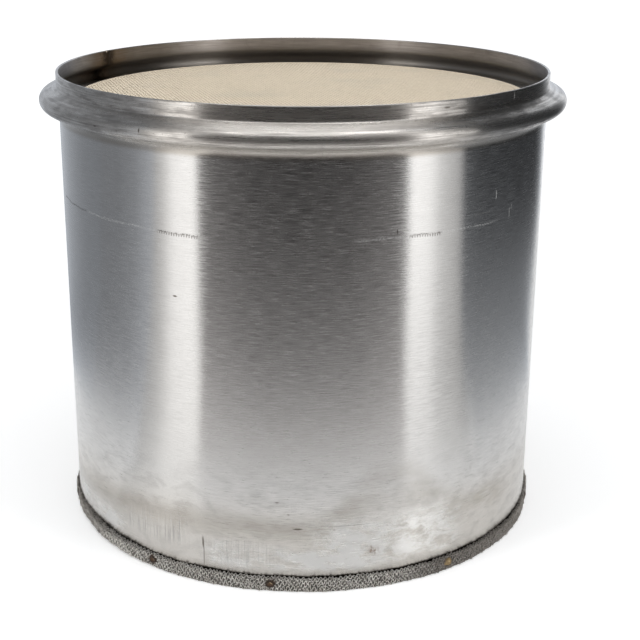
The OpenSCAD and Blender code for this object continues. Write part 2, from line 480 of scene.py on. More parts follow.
def bead_wear_and_shade(t, colour):
    """Grain, dull smears and specks on the lip and the bead, most on the left and right, and painted shade
    under the bead.
    """
    colour = t.mix(t.step(t.v, *CAST_EDGE), colour, BEAD_CAST, "MULTIPLY")
    # Painted shade on the sweep under the bead
    colour = t.mix(t.times(t.band(t.v, *BEAD_UNDER_SHADE, 1.5), 0.85), colour, STEEL_SOIL_AND_SHADE)
    zone = t.step(t.v, *BEAD_EDGE)
    grain = t.streaks(45, 0.8, 15, 4, 0.62)
    colour = t.mix(t.times(zone, t.step(grain, 0.48, 0.64), 0.3), colour, GRAIN_DARK)
    colour = t.mix(t.times(zone, t.step(grain, 0.34, 0.45, 0.3, 0)), colour, STEEL_CLOUD)
    ends = t.plus(t.sector(185, 252, 12), t.sector(292, 350, 12))
    share = t.times(zone, t.scaled(ends, 0.5, 0.22))
    smear = t.streaks(16, 3.2, 11, 5, 0.66)
    colour = t.mix(t.times(share, t.step(smear, 0.46, 0.66), 0.7), colour, SMEAR_DARK)
    colour = t.mix(t.times(share, t.step(smear, 0.36, 0.46, 0.4, 0)), colour, STEEL_CLOUD)
    speck = t.noise(t.place, 0.75, 3, 0.65, 0.3)
    colour = t.mix(t.times(share, t.step(speck, 0.62, 0.70), 0.6), colour, GRIME)
    worn = t.times(share, t.step(smear, 0.42, 0.62))
    return colour, t.plus(worn, t.times(zone, t.step(grain, 0.38, 0.62), 0.9))


def clamp_scuff(t):
    """Thin ring left by a clamp: dark dashes on three stretches, two of them toothed, and pale scratches."""
    sway = t.line(t.streaks(14, 90, 5, 2, 0.5), 0.3, 0.7, -0.5, 0.5)
    height = t.minus(t.v, sway)
    off = t.math("ABSOLUTE", t.minus(height, SCUFF_Z))
    ring = t.step(off, SCUFF_HALF * 0.4, SCUFF_HALF, 1, 0)
    dashes = t.step(t.streaks(0.75, 1.2, 5, 3, 0.75), 0.45, 0.56)
    left = t.sector(238, 248, 2.5)
    right = t.sector(292.5, 300, 1.2)
    dark = t.plus(t.plus(t.sector(198, 214, 2.5), left), right)
    pale = t.plus(t.sector(214, 238, 3), t.sector(280, 316, 8))
    pale = t.math("SUBTRACT", pale, dark, clamp=True)
    comb = t.step(t.math("SINE", t.times(t.s, 2 * math.pi / SCUFF_PITCH)), 0, 0.6)
    below = t.band(height, SCUFF_Z - SCUFF_TOOTH, SCUFF_Z, 0.25)
    teeth = t.times(below, comb, t.plus(left, right), 0.55)
    scuff = t.most(t.times(ring, dashes, dark, 0.7), teeth)
    return scuff, t.times(ring, dashes, pale, 0.36)


def steel_outside():
    t = Wall("can_steel_brushed")
    fine = t.streaks(9, 0.55, 0, 4, 0.62)
    # The rolled lip and bead are smoother than the wall
    fine = t.math("MULTIPLY_ADD", t.minus(0.5, fine), t.step(t.v, *BEAD_EDGE, 0, 0.6), fine)
    lines = t.streaks(34, 1.2, 3, 3, 0.6)
    broad = t.streaks(120, 34, 7, 3, 0.5)
    blotch = t.noise(t.place, 0.045, 4, 0.55, 0.6)
    # Base colour: streaks, then the dull places
    colour = t.mix(t.step(fine, 0.33, 0.65), STEEL_FAINT, STEEL)
    colour = t.mix(t.times(t.step(lines, 0.5, 0.72), 0.12), colour, STEEL_CLOUD)
    colour = t.mix(t.times(t.step(blotch, 0.55, 0.8), 0.2), colour, STEEL_DULL)
    colour, cloud = low_wall(t, colour)
    colour, worn = bead_wear_and_shade(t, colour)
    # Specks, rust and scratches
    scuff, pale = clamp_scuff(t)
    colour = t.mix(t.times(scuff, 0.9), colour, GRIME)
    for *mark, strength in DARK_MARKS:
        colour = t.mix(t.times(spot(t, *mark), strength), colour, GRIME)
    ragged = t.step(t.noise(t.place, 0.9, 4, 0.7), 0.35, 0.6)
    for *mark, strength in RUST_MARKS:
        colour = t.mix(t.times(spot(t, *mark), ragged, strength), colour, RUST)
    for *mark, strength in LIGHT_MARKS:
        pale = t.most(pale, t.times(spot(t, *mark), strength))
    colour = t.mix(pale, colour, SCRATCH)
    # Heat tint on both sides of the seam
    from_seam = t.from_seam()
    colour = t.mix(t.step(from_seam, 2, 9, 0.55, 0), colour, TINT_AMBER)
    colour = t.mix(t.step(from_seam, 0.4, 1.6, 0.75, 0), colour, TINT_BROWN)
    rough = t.scaled(fine, 0.4, 0.02)
    for mask, gain in ((cloud, 0.12), (scuff, 0.3), (worn, 0.14)):
        rough = t.plus(rough, t.times(mask, gain))
    normal = t.bump(broad, 0.04, 0.001, Normal=t.bump(fine, 0.03, 0.001))
    metal = t.scaled(pale, -0.9, 1)
    return t.brushed(1, Base_Color=colour, Metallic=metal, Roughness=rough, Normal=normal)


def steel_inside():
    t = Wall("can_steel_heat_stained_and_shaded")
    fine = t.streaks(18, 0.9, 2, 4, 0.6)
    blotch = t.noise(t.place, 0.06, 4, 0.6, 0.8)
    colour = t.mix(t.step(fine, 0.3, 0.7), INSIDE_DARK, INSIDE_PALE)
    colour = t.mix(t.times(t.step(blotch, 0.45, 0.75), 0.25), colour, TINT_BROWN)
    # Painted shade: the lip darkens into the bead's hollow. Painted reflection of the comb: the hollow's
    # lower side is lighter again
    colour = t.mix(t.step(t.v, -8, -4, 0.75, 0), colour, HOLLOW_SHADE)
    colour = t.mix(t.step(t.v, -15.5, -12, 0.8, 0), colour, HOLLOW_REFLECTION)
    # Weld smear with heat tint on both sides
    smear = t.line(t.noise(t.place, 0.35, 4, 0.65), 0.3, 0.7, -2, 2)
    from_weld = t.plus(t.from_seam(), smear)
    colour = t.mix(t.step(from_weld, 5, 28, 0.6, 0), colour, TINT_AMBER)
    colour = t.mix(t.step(from_weld, 1, 9.5, 0.9, 0), colour, WELD_BLACK)
    rough = t.scaled(blotch, 0.12, 0.32)
    normal = t.bump(fine, 0.15, 0.00015)
    return t.brushed(0.98, Base_Color=colour, Metallic=1, Roughness=rough, Normal=normal)


# Materials of the other pieces

# Soot on the wires: two angles, softness in millimetres, strength
SOOT_RIGHT = (296, 352, 16, 0.72)
SOOT_LEFT = (178, 216, 16, 0.54)


def ceramic():
    t = new_material("honeycomb_ceramic")
    place, z = t.object_mm()
    grid = t.vector("SCALE", t.turned(place, -CELL_TURN), {"Scale": 1.0 / CELL_PITCH})[0]
    cell = t.vector("FLOOR", t.vector("ADD", grid, {1: (0.5, 0.5, 0)})[0])[0]
    shade = t.add("TexWhiteNoise", {"Vector": cell}, noise_dimensions="2D").outputs[0]
    cloudy = t.noise(place, 0.03, 3, 0.5)
    grain = t.noise(place, 6, 3, 0.6)
    colour = t.mix(t.times(shade, 0.5), CERAMIC_PALE, CERAMIC_TAN)
    colour = t.mix(t.times(t.step(cloudy, 0.45, 0.7), 0.35), colour, CERAMIC_GREY)
    colour = t.mix(t.times(t.step(grain, 0.5, 0.8), 0.25), colour, CERAMIC_GRAIN)
    # Painted shade: channels darken with depth below either face
    depth = t.math("MINIMUM", t.minus(INLET_Z, z), t.minus(z, OUTLET_RECESS))
    colour = t.mix(t.step(depth, 0.03, 0.8, 0, 0.96), colour, CHANNEL_SHADE)
    normal = t.bump(grain, 0.4, 0.0002)
    return t.principled(Base_Color=colour, Roughness=0.92, Specular_IOR_Level=0.2, Normal=normal)


def mat_fibre():
    t = Wall("mat_fibre")
    strands = t.streaks(5, 0.6, 0, 5, 0.7, 1.5)
    tufts = t.noise(t.place, 0.5, 4, 0.6)
    colour = t.mix(t.step(strands, 0.3, 0.7), FIBRE_DARK, FIBRE_PALE)
    colour = t.mix(t.times(t.step(tufts, 0.5, 0.8), 0.5), colour, FIBRE_BROWN)
    normal = t.bump(strands, 0.6, 0.0006)
    return t.principled(Base_Color=colour, Roughness=0.95, Sheen_Weight=0.3, Normal=normal)


def tack_stain(t, colour):
    """Brown heat stain on the wires next to the tack welds, read from the mesh."""
    return t.mix(t.step(t.attribute("tack_near"), 0.2, 0.75, 0, 0.88), colour, TACK_STAIN)


def knit_wire():
    t = Wall("gasket_wire")
    dull = t.noise(t.place, 0.12, 4, 0.6)
    fleck = t.noise(t.place, 0.75, 3, 0.65)
    colour = t.mix(t.step(fleck, 0.36, 0.62), WIRE_DULL, WIRE_BRIGHT)
    colour = t.mix(t.times(t.step(dull, 0.48, 0.72), 0.4), colour, WIRE_BROWN)
    # Soot on both sides, most on the right, and painted shade on the top next to the can
    right, left = (t.times(t.sector(*ends), share) for *ends, share in (SOOT_RIGHT, SOOT_LEFT))
    colour = t.mix(t.plus(right, left), colour, WIRE_SOOT)
    colour = t.mix(t.step(t.v, RING_TOP - 1.8, RING_TOP + 0.1, 0, 0.6), colour, WIRE_TOP_SHADE)
    rough = t.scaled(fleck, 0.2, 0.36)
    return t.principled(Base_Color=tack_stain(t, colour), Metallic=0.15, Roughness=rough)


def knit_core():
    t = Wall("gasket_core")
    wires = t.streaks(0.9, 0.5, 0, 4, 0.7, 1)
    # Painted shade: the core is coloured much darker than the wire, for the shade between the loops
    colour = t.mix(t.step(wires, 0.42, 0.66), CORE_SHADE_DARK, CORE_SHADE_PALE)
    # Painted shadow in the gap between the ring's top and the can
    colour = t.mix(t.step(t.v, RING_TOP - 1.4, RING_TOP - 0.7, 0, 0.97), colour, FOOT_SHADOW)
    normal = t.bump(wires, 0.9, 0.0005)
    return t.principled(Base_Color=tack_stain(t, colour), Metallic=0.5, Roughness=0.55, Normal=normal)


def tack_metal():
    t = new_material("tack_weld_metal")
    place, _ = t.object_mm()
    rho = t.attribute("tack_rho")
    tone = t.attribute("tack_tone")
    glint = t.attribute("tack_glint")
    fleck = t.noise(place, 1.6, 4, 0.65, 0.5)
    colour = t.mix(t.step(rho, 0.35, 0.7), TACK_PIT, TACK_SCORCH)
    colour = t.mix(t.step(rho, 0.82, 1, 0, 0.8), colour, TACK_RIM)
    colour = t.mix(t.times(t.step(fleck, 0.52, 0.72), 0.35), colour, TACK_FLECK)
    colour = t.mix(t.step(tone, 0.9, 1, 0, 0.65), colour, TACK_STRAW)
    colour = t.mix(t.step(glint, 0.25, 0.75), colour, t.mix(tone, GLINT_BROWN, GLINT_GOLD))
    rough = t.scaled(fleck, 0.3, 0.4)
    normal = t.bump(fleck, 0.8, 0.0006)
    return t.principled(Base_Color=colour, Metallic=0.4, Roughness=rough, Normal=normal)


# Mesh helpers

def mesh_piece(name, verts_mm, faces, materials, smooth=True, face_material=None):
    mesh = bpy.data.meshes.new(name)
    mesh.from_pydata((np.asarray(verts_mm) * MM).tolist(), [], faces)
    for material in materials:
        mesh.materials.append(material)
    mesh.polygons.foreach_set("use_smooth", [smooth] * len(mesh.polygons))
    if face_material is not None:
        mesh.polygons.foreach_set("material_index", face_material)
    mesh.update()
    piece = bpy.data.objects.new(name, mesh)
    bpy.context.scene.collection.objects.link(piece)
    return piece


def float_attribute(piece, name, values):
    layer = piece.data.attributes.new(name, "FLOAT", "POINT")
    layer.data.foreach_set("value", np.asarray(values, dtype=np.float32))


def full_turn(steps):
    return np.linspace(0, 2 * math.pi, steps + 1)[:-1]


def ripple(angles, waves, course=1, start=0.0):
    """Sum of waves (size, count round the can, phase for each course) on a start value."""
    return sum((size * np.sin(count * angles + phase * course) for size, count, phase in waves), start)


def ring_faces(rows, columns):
    """Quads of a closed section swept once round: vertex index = row * columns + column."""
    p, a = np.meshgrid(np.arange(rows), np.arange(columns), indexing="ij")
    q, b = (p + 1) % rows, (a + 1) % columns
    corners = [p * columns + a, p * columns + b, q * columns + b, q * columns + a]
    return np.stack(corners, -1).reshape(-1, 4).tolist()


def spun(section, angles):
    """Radius and height of a section's points, one row each, at every angle."""
    return np.repeat(section[:, :1], len(angles), 1), np.repeat(section[:, 1:], len(angles), 1)


def swept(radius, height, angles):
    """Vertices of radius[row, column] and height[row, column] at the column's angle."""
    return np.stack([radius * np.cos(angles), radius * np.sin(angles), height], -1).reshape(-1, 3)


def arc(x, z, r, start, end, steps):
    a = np.radians(np.linspace(start, end, steps + 1))
    return np.stack([x + r * np.cos(a), z + r * np.sin(a)], -1)


# Can

EDGE_R = 0.4
# Height of the short row next to each edge's round
EDGE_ROW = 0.6
LIP_ROW = 2.0
BODY_ROWS = 16
EDGE_STEPS = 4
SWEEP_STEPS = 16
NOSE_STEPS = 26
NECK_STEPS = 12
RING_STEPS = 480
# Half width of the finely divided strip at the seam, and its columns
SEAM_ZONE = 3.6
SEAM_COLUMNS = 49
# Out-of-round of the rolled sheet, which starts above the wire ring and is full further up
CAN_WAVES = ((0.10, 2, 0.6), (0.06, 5, 2.1), (0.03, 11, 0.4))
WAVE_START = 6.0
WAVE_RISE = 60.0
SEAM_CROWN = 0.7
SEAM_INSIDE = SEAM_H * 0.7
SEAM_INSIDE_Z = INLET_Z + 1.0
NICK_ROWS = 1.2


def skin_line(depth):
    """Section of the can at a depth below its skin, from lower edge to lip, without edge rounds."""
    body_h = UNDER_Z - SWEEP - 2 * EDGE_R - EDGE_ROW
    low = np.linspace(0.0, 1.0, BODY_ROWS) * body_h + EDGE_R + EDGE_ROW
    lip_r = LIP_R - depth
    return np.concatenate([
        [[BODY_R - depth, EDGE_R]],
        np.stack([np.full(BODY_ROWS, BODY_R - depth), low], -1),
        arc(BODY_R + SWEEP, UNDER_Z - SWEEP, SWEEP + depth, 180, 90, SWEEP_STEPS),
        arc(NOSE_X, NOSE_Z, NOSE_R - depth, -90, 90 - BEAD_SLOPE, NOSE_STEPS),
        arc(NECK_X, NECK_Z, NECK_R + depth, 270 - BEAD_SLOPE, 180, NECK_STEPS),
        [[lip_r, NECK_Z + LIP_ROW], [lip_r, CAN_H - EDGE_R - EDGE_ROW], [lip_r, CAN_H - EDGE_R]],
    ])


def can_section():
    """Closed section of the can, and the side of each point: 1 outside, -1 inside, between them an edge."""
    outer = skin_line(0.0)
    inner = skin_line(WALL_T)[::-1]
    top = np.concatenate([
        arc(LIP_R - EDGE_R, CAN_H - EDGE_R, EDGE_R, 0, 90, EDGE_STEPS)[1:],
        arc(LIP_R - WALL_T + EDGE_R, CAN_H - EDGE_R, EDGE_R, 90, 180, EDGE_STEPS)[:-1],
    ])
    base = np.concatenate([
        arc(BODY_R - WALL_T + EDGE_R, EDGE_R, EDGE_R, 180, 270, EDGE_STEPS)[1:],
        arc(BODY_R - EDGE_R, EDGE_R, EDGE_R, 270, 360, EDGE_STEPS)[:-1],
    ])
    side = np.repeat([1.0, 0.5, -1.0, 0.0], [len(outer), len(top), len(inner), len(base)])
    return np.concatenate([outer, top, inner, base]), side


def make_can():
    section, side = can_section()
    near = np.linspace(-SEAM_ZONE, SEAM_ZONE, SEAM_COLUMNS) / BODY_R
    far = np.linspace(SEAM_ZONE / BODY_R, 2 * math.pi - SEAM_ZONE / BODY_R, RING_STEPS)[1:-1]
    turn = np.concatenate([near, far])
    angles = math.radians(SEAM_AT) + turn
    away = np.where(turn > math.pi, turn - 2 * math.pi, turn) * BODY_R
    r, z = spun(section, angles)
    # Rolled sheet is never quite round: shallow waves shared by both faces
    r += ripple(angles, CAN_WAVES) * np.clip((z - WAVE_START) / WAVE_RISE, 0.0, 1.0)
    # Seam bead on the outer face, flat ridge on the inner face above the comb
    crown = np.clip(1.0 - (away / (SEAM_W / 2)) ** 2, 0.0, 1.0) ** SEAM_CROWN
    r += np.where(side[:, None] >= 0.5, SEAM_H, 0.0) * crown
    r -= np.where((side[:, None] < 0) & (z > SEAM_INSIDE_Z), SEAM_INSIDE, 0.0) * crown
    # Nick in the lip's edge beside the seam
    notch = NICK_DEPTH * np.clip(1.0 - np.abs(away - SEAM_W / 2) / NICK_DEPTH, 0.0, 1.0)
    z -= np.where(z > CAN_H - NICK_ROWS, notch, 0.0)
    faces = ring_faces(len(section), len(angles))
    inside = np.repeat((side < 0).astype(int), len(angles))
    steels = [steel_outside(), steel_inside()]
    piece = mesh_piece("can", swept(r, z, angles), faces, steels, True, inside)
    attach(piece, "root")
    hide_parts("can_shell")


# Honeycomb

# Share of the pitch from a cell's middle to its corner
CELL_CORNER = 0.71
# How far the skin stands proud of the faces, its edge's round and the row next to it
SKIN_PROUD = 0.05
SKIN_EDGE = 0.5
SKIN_ROW = 1.0
SKIN_EDGE_STEPS = 5
SKIN_COLUMNS = 360
SHARP_FROM = 40.0


def make_comb_face(name, face_z, out, odd_closed, nodes, material):
    """One end of the honeycomb: square channels, every other one closed flush by a plug."""
    n = int(COMB_R / CELL_PITCH) + 2
    i, j = np.meshgrid(np.arange(-n, n + 1), np.arange(-n, n + 1), indexing="ij")
    i, j = i.ravel(), j.ravel()
    reach = np.hypot(i, j) * CELL_PITCH
    odd = (np.abs(i + j) % 2) == 1
    closed = odd if odd_closed else ~odd
    in_face = reach <= COMB_R - SKIN_T + CELL_CORNER * CELL_PITCH
    # Open channels own their four corners, and the plugs between them use those
    owners = ~closed & (reach <= COMB_R - SKIN_T + (1 + CELL_CORNER) * CELL_PITCH)
    owner_index = np.full((2 * n + 3, 2 * n + 3), -1)
    owner_index[i[owners] + n + 1, j[owners] + n + 1] = np.arange(owners.sum())
    half = CELL_HOLE / 2
    corner = np.array([[-half, -half], [half, -half], [half, half], [-half, half]])
    centre = np.stack([i[owners], j[owners]], -1) * CELL_PITCH
    turn = math.radians(CELL_TURN)
    spin = np.array([[math.cos(turn), math.sin(turn)], [-math.sin(turn), math.cos(turn)]])
    flat = (centre[:, None, :] + corner[None]).reshape(-1, 2) @ spin
    count = len(flat)
    top = np.column_stack([flat, np.full(count, face_z)])
    deep = np.column_stack([flat, np.full(count, face_z - out * CELL_DEPTH)])
    ci, cj = i[closed & in_face] + n + 1, j[closed & in_face] + n + 1

    def corner_of(di, dj, k):
        return owner_index[ci + di, cj + dj] * 4 + k

    around = ((0, -1, 3), (0, -1, 2), (1, 0, 0), (1, 0, 3), (0, 1, 1), (0, 1, 0), (-1, 0, 2), (-1, 0, 1))
    plug = np.stack([corner_of(*place) for place in around], -1)
    hole = owner_index[i[~closed & in_face] + n + 1, j[~closed & in_face] + n + 1] * 4
    edges = [(hole + k, hole + (k + 1) % 4) for k in range(4)]
    walls = [np.stack([a, b, b + count, a + count], -1) for a, b in edges]
    floor = np.stack([hole + k + count for k in range(4)], -1)
    faces = plug.tolist() + np.concatenate(walls + [floor]).tolist()
    if out < 0:
        faces = [f[::-1] for f in faces]
    used = np.unique(np.concatenate([np.asarray(f) for f in faces]))
    renumber = np.full(2 * count, -1)
    renumber[used] = np.arange(len(used))
    verts = np.concatenate([top, deep])[used]
    faces = [renumber[f].tolist() for f in faces]
    piece = mesh_piece(name, verts, faces, [material], False)
    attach(piece, "root")
    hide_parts(*nodes)


def make_comb_skin(material):
    low, high = OUTLET_RECESS - SKIN_PROUD, INLET_Z + SKIN_PROUD
    inner_r, edge = COMB_R - SKIN_T, SKIN_EDGE
    section = np.concatenate([
        [[COMB_R, low + edge + SKIN_ROW], [COMB_R, high - edge - SKIN_ROW]],
        arc(COMB_R - edge, high - edge, edge, 0, 90, SKIN_EDGE_STEPS),
        [[inner_r, high], [inner_r, low]],
        arc(COMB_R - edge, low + edge, edge, 270, 360, SKIN_EDGE_STEPS),
    ])
    angles = full_turn(SKIN_COLUMNS)
    r, z = spun(section, angles)
    faces = ring_faces(len(section), len(angles))
    piece = mesh_piece("comb_skin", swept(r, z, angles), faces, [material])
    piece.data.set_sharp_from_angle(angle=math.radians(SHARP_FROM))
    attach(piece, "root")


# Knitted gasket

RING_FOLD_R = 1.3
RING_LENGTH = GASKET_H + GASKET_T - RING_FOLD_R * (2 - math.pi / 2)
# Open strip of the ring's top next to the can, without loops
LEDGE_GAP = 0.25
# Waves of the ring outwards and of its top, its mean sink, and the height over which its top's waves set in
OUT_WAVES = ((0.14, 5, 1.0), (0.16, 13, 2.0), (0.14, 29, 0.3))
UP_WAVES = ((0.18, 7, 0.5), (0.16, 19, 1.2), (0.12, 37, 0.0))
OUT_SINK = 0.15
UP_RISE = 3.0
# Bulges and tight stretches of the ring: place in degrees, height in millimetres, spread in radians
BULGES = (
    (350.0, -0.6, 0.30),
    (355.0, 0.4, 0.03),
    (257.0, 0.6, 0.06),
    (217.0, 0.3, 0.05),
    (195.0, -0.8, 0.35),
)
# Stretches of the ring that ride up the can
LIFTS = ((208.0, 1.9, 0.36),)
# Dents round the tack welds
PRESS_DEPTH = 1.0
PRESS_R = 3.0
# Real knitted wire
KNIT_STITCHES = 380
KNIT_COURSES = 6
KNIT_WIRE_R = 0.35
KNIT_SAMPLES = 10
KNIT_SIDES = 3
KNIT_DEPTH = 0.45
# Lowest place of a wire's middle line
KNIT_FOOT = KNIT_WIRE_R + 0.02
# Uneven lean, drift, height and depth of the loops, and how far a loop widens
KNIT_LEAN = ((0.30, 9, 0.5), (0.22, 31, 1.1), (0.16, 83, 2.3))
KNIT_DRIFT = ((0.16, 17, 1.3), (0.14, 47, 0.7), (0.10, 113, 1.9))
KNIT_TALL = ((0.07, 67, 2.9), (0.05, 157, 1.0))
KNIT_DEEP = ((0.22, 97, 1.3), (0.18, 173, 2.1))
LOOP_HALF = 0.48
LOOP_WIDEN = 0.06
# Packed core: depth below the loops, dip next to the can, lower edge, rows and columns
CORE_INSET = 0.85
CORE_DIP = 1.0
CORE_FOOT = 0.25
CORE_ROWS = 26
CORE_COLUMNS = 480


def turn_from(angles, place):
    """Turn from a place round the can, between minus and plus half a turn."""
    return (angles - place + math.pi) % (2 * math.pi) - math.pi


def hump(angles, place, size, spread):
    return size * np.exp(-(turn_from(angles, math.radians(place)) / spread) ** 2)


def gasket_wave(angles):
    """Uneven lie of the wire ring: outward, up at its top and up as a whole, in millimetres."""
    out = sum((hump(angles, *bulge) for bulge in BULGES), ripple(angles, OUT_WAVES) - OUT_SINK)
    up = ripple(angles, UP_WAVES)
    lift = sum(hump(angles, *stretch) for stretch in LIFTS)
    return out, up, lift


def tack_nearness(angles, z):
    """1 at the middle of the nearest tack weld, fading out over its press radius."""
    best = np.zeros(np.broadcast(angles, z).shape)
    for a in TACK_ANGLES:
        away = turn_from(angles, a) * GASKET_OUT
        best = np.maximum(best, np.exp(-(away ** 2 + (z - TACK_Z) ** 2) / PRESS_R ** 2))
    return best


def ring_section(q):
    """Point and outward direction on the ring's face, fold and top, at a length from its lower edge."""
    wall = GASKET_H - RING_FOLD_R
    fold = RING_FOLD_R * math.pi / 2
    turn = np.clip((q - wall) / RING_FOLD_R, 0.0, math.pi / 2)
    over = np.clip(q - wall - fold, 0.0, None)
    r = GASKET_OUT - RING_FOLD_R + RING_FOLD_R * np.cos(turn) - over
    z = np.minimum(q, wall) + RING_FOLD_R * np.sin(turn)
    return r, z, np.cos(turn), np.sin(turn)


def knit_course(k):
    """Middle line of one course of knitted loops, its outward directions and its nearness to tack welds."""
    length = RING_LENGTH - LEDGE_GAP
    spacing = length / KNIT_COURSES
    t = np.linspace(0, 2 * math.pi * KNIT_STITCHES, KNIT_STITCHES * KNIT_SAMPLES + 1)[:-1]
    pitch = 2 * math.pi / KNIT_STITCHES
    lie = t / KNIT_STITCHES
    # Loops lean, widen and drift unevenly round the ring
    angles = lie + pitch * (0.5 * (k % 2) + LOOP_WIDEN * np.sin(2 * t) + ripple(lie, KNIT_LEAN, k))
    tall = ripple(lie, KNIT_TALL, k, LOOP_HALF)
    q = (k + 0.5 + ripple(lie, KNIT_DRIFT, k)) * spacing - tall * spacing * np.cos(t)
    r, z, out_r, out_z = ring_section(np.clip(q, KNIT_FOOT, length))
    out, up, lift = gasket_wave(angles)
    near = tack_nearness(angles, z)
    depth = -KNIT_WIRE_R - KNIT_DEPTH * (1 - np.cos(2 * t)) / 2
    depth += ripple(lie, KNIT_DEEP, k)
    depth -= PRESS_DEPTH * near
    r = r + out + depth * out_r
    z = np.maximum(z + up * np.clip(z / UP_RISE, 0, 1) + depth * out_z, KNIT_FOOT) + lift
    middle = np.stack([r * np.cos(angles), r * np.sin(angles), z], -1)
    outward = np.stack([out_r * np.cos(angles), out_r * np.sin(angles), out_z], -1)
    return middle, outward, near


def unit_rows(vectors):
    return vectors / np.linalg.norm(vectors, axis=1, keepdims=True)


def make_knit():
    verts, faces, near = [], [], []
    for k in range(KNIT_COURSES):
        middle, outward, close = knit_course(k)
        along = unit_rows(np.roll(middle, -1, 0) - np.roll(middle, 1, 0))
        across = unit_rows(np.cross(along, outward))
        lift = np.cross(across, along)
        count = len(middle)
        faces += (np.asarray(ring_faces(KNIT_SIDES, count)) + k * count * KNIT_SIDES).tolist()
        verts += [middle + KNIT_WIRE_R * (math.cos(a) * lift + math.sin(a) * across)
                  for a in full_turn(KNIT_SIDES)]
        near.append(np.tile(close, KNIT_SIDES))
    piece = mesh_piece("gasket_knit", np.concatenate(verts), faces, [knit_wire()])
    float_attribute(piece, "tack_near", np.concatenate(near))
    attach(piece, "root")
    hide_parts("mesh_gasket")


def make_gasket_core():
    """Packed inner layers of the wire ring, seen between the outer loops and coloured dark as painted shade.
    """
    r, z, out_r, out_z = ring_section(np.linspace(CORE_FOOT, RING_LENGTH - LEDGE_GAP, CORE_ROWS))
    outer = np.stack([r - CORE_INSET * out_r, z - CORE_INSET * out_z], -1)
    inner = [[GASKET_IN, GASKET_H - CORE_INSET - CORE_DIP], [GASKET_IN, CORE_FOOT]]
    section = np.concatenate([outer, inner])
    angles = full_turn(CORE_COLUMNS)
    out, up, lift = gasket_wave(angles)
    r, z = spun(section, angles)
    share = np.clip((r - GASKET_IN) / (GASKET_T - CORE_INSET), 0, 1)
    close = tack_nearness(angles[None], z)
    r = np.maximum(r + share * (out - PRESS_DEPTH * close), GASKET_IN)
    z += up * np.clip(z / UP_RISE, 0, 1) + lift
    faces = ring_faces(len(section), len(angles))
    piece = mesh_piece("gasket_core", swept(r, z, angles), faces, [knit_core()])
    float_attribute(piece, "tack_near", close.ravel())
    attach(piece, "root")


# Tack welds: crushed craters with a raised, scorched rim

TACK_STEPS = 28
# Share of the radius and rise in millimetres from a crater's middle to its edge
TACK_RHO = (0.0, 0.22, 0.42, 0.58, 0.72, 0.86, 1.0)
TACK_RISE = (-0.28, -0.30, -0.12, 0.16, 0.22, 0.02, -0.5)
TACK_RAGGED = ((0.10, 3, 1), (0.07, 5, 2), (0.05, 9, 0))
TACK_LUMPS = ((0.35, 4, 1.3),)
TACK_TONES = (0.3, 0.5, 0.0, 0.8, 1.0, 0.4, 0.2, 0.6, 0.3)
# Stretch of a crater and its back round the can and upwards, its depth, and its share of the ring's waves
TACK_WIDE = 1.08
TACK_HIGH = 0.86
BACK_WIDE = 0.9
BACK_HIGH = 0.8
BACK_DEPTH = 1.7
TACK_FOLLOW = 0.6
# Side of each crater that catches the light, counted from its right in degrees, and how far it varies
TACK_LIT = 35.0
TACK_LIT_SWAY = 40
TACK_LIT_STEP = 3.0
# Ring of a crater that glints, its half width, and the glint of its middle
GLINT_RHO = 0.35
GLINT_HALF = 0.3
GLINT_MIDDLE = 0.2


def tack_points(number, angle, turn):
    """Points of one crater: its middle, rings outwards and round to its back, and the back's middle."""
    out, _, lift = gasket_wave(np.array([angle]))
    base = GASKET_OUT - TACK_SINK + out[0] * TACK_FOLLOW
    mid_z = TACK_Z + lift[0]
    ragged = ripple(turn, TACK_RAGGED, number, 1.0)
    lumps = ripple(turn, TACK_LUMPS, number)

    def ring(stand, wide, high):
        around = angle + wide * np.cos(turn) / GASKET_OUT
        return np.stack([stand * np.cos(around), stand * np.sin(around), mid_z + high * np.sin(turn)], -1)

    rings = []
    for rho, rise in zip(TACK_RHO, TACK_RISE):
        reach = rho * TACK_D / 2 * ragged
        rings.append(ring(base + rise * (1 + lumps * rho), reach * TACK_WIDE, reach * TACK_HIGH))
    back = base - BACK_DEPTH
    rings.append(ring(back, TACK_D / 2 * BACK_WIDE, TACK_D / 2 * BACK_HIGH))
    rear = [[back * math.cos(angle), back * math.sin(angle), mid_z]]
    return np.concatenate([rings[0][:1]] + rings[1:] + [rear])


def tack_faces(start):
    """Faces of one crater whose points start at an index."""
    faces = []
    first = start + 1
    last = first + (len(TACK_RHO) - 1) * TACK_STEPS
    for a in range(TACK_STEPS):
        b = (a + 1) % TACK_STEPS
        faces.append([start, first + a, first + b])
        for low in range(first, last, TACK_STEPS):
            high = low + TACK_STEPS
            faces.append([low + a, high + a, high + b, low + b])
        faces.append([last + a, last + TACK_STEPS, last + b])
    return faces


def make_tacks():
    turn = full_turn(TACK_STEPS)
    behind = TACK_STEPS + 1
    verts, faces, rhos, tones, glints = [], [], [], [], []
    for number, angle in enumerate(TACK_ANGLES):
        block = tack_points(number, angle, turn)
        faces += tack_faces(number * len(block))
        verts.append(block)
        rhos += [0.0] + np.repeat(TACK_RHO[1:], TACK_STEPS).tolist() + [1.0] * behind
        tones += [TACK_TONES[number]] * len(block)
        lit_at = math.radians(TACK_LIT + TACK_LIT_SWAY * math.sin(TACK_LIT_STEP * number))
        lit = np.clip(np.cos(turn - lit_at), 0, 1)
        shown = [lit * max(0.0, 1 - abs(rho - GLINT_RHO) / GLINT_HALF) for rho in TACK_RHO[1:]]
        glints += [GLINT_MIDDLE] + np.concatenate(shown).tolist() + [0.0] * behind
    piece = mesh_piece("tack_welds", np.concatenate(verts), faces, [tack_metal()])
    float_attribute(piece, "tack_rho", rhos)
    float_attribute(piece, "tack_tone", tones)
    float_attribute(piece, "tack_glint", glints)
    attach(piece, "root")
    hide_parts("gasket_tack_welds")


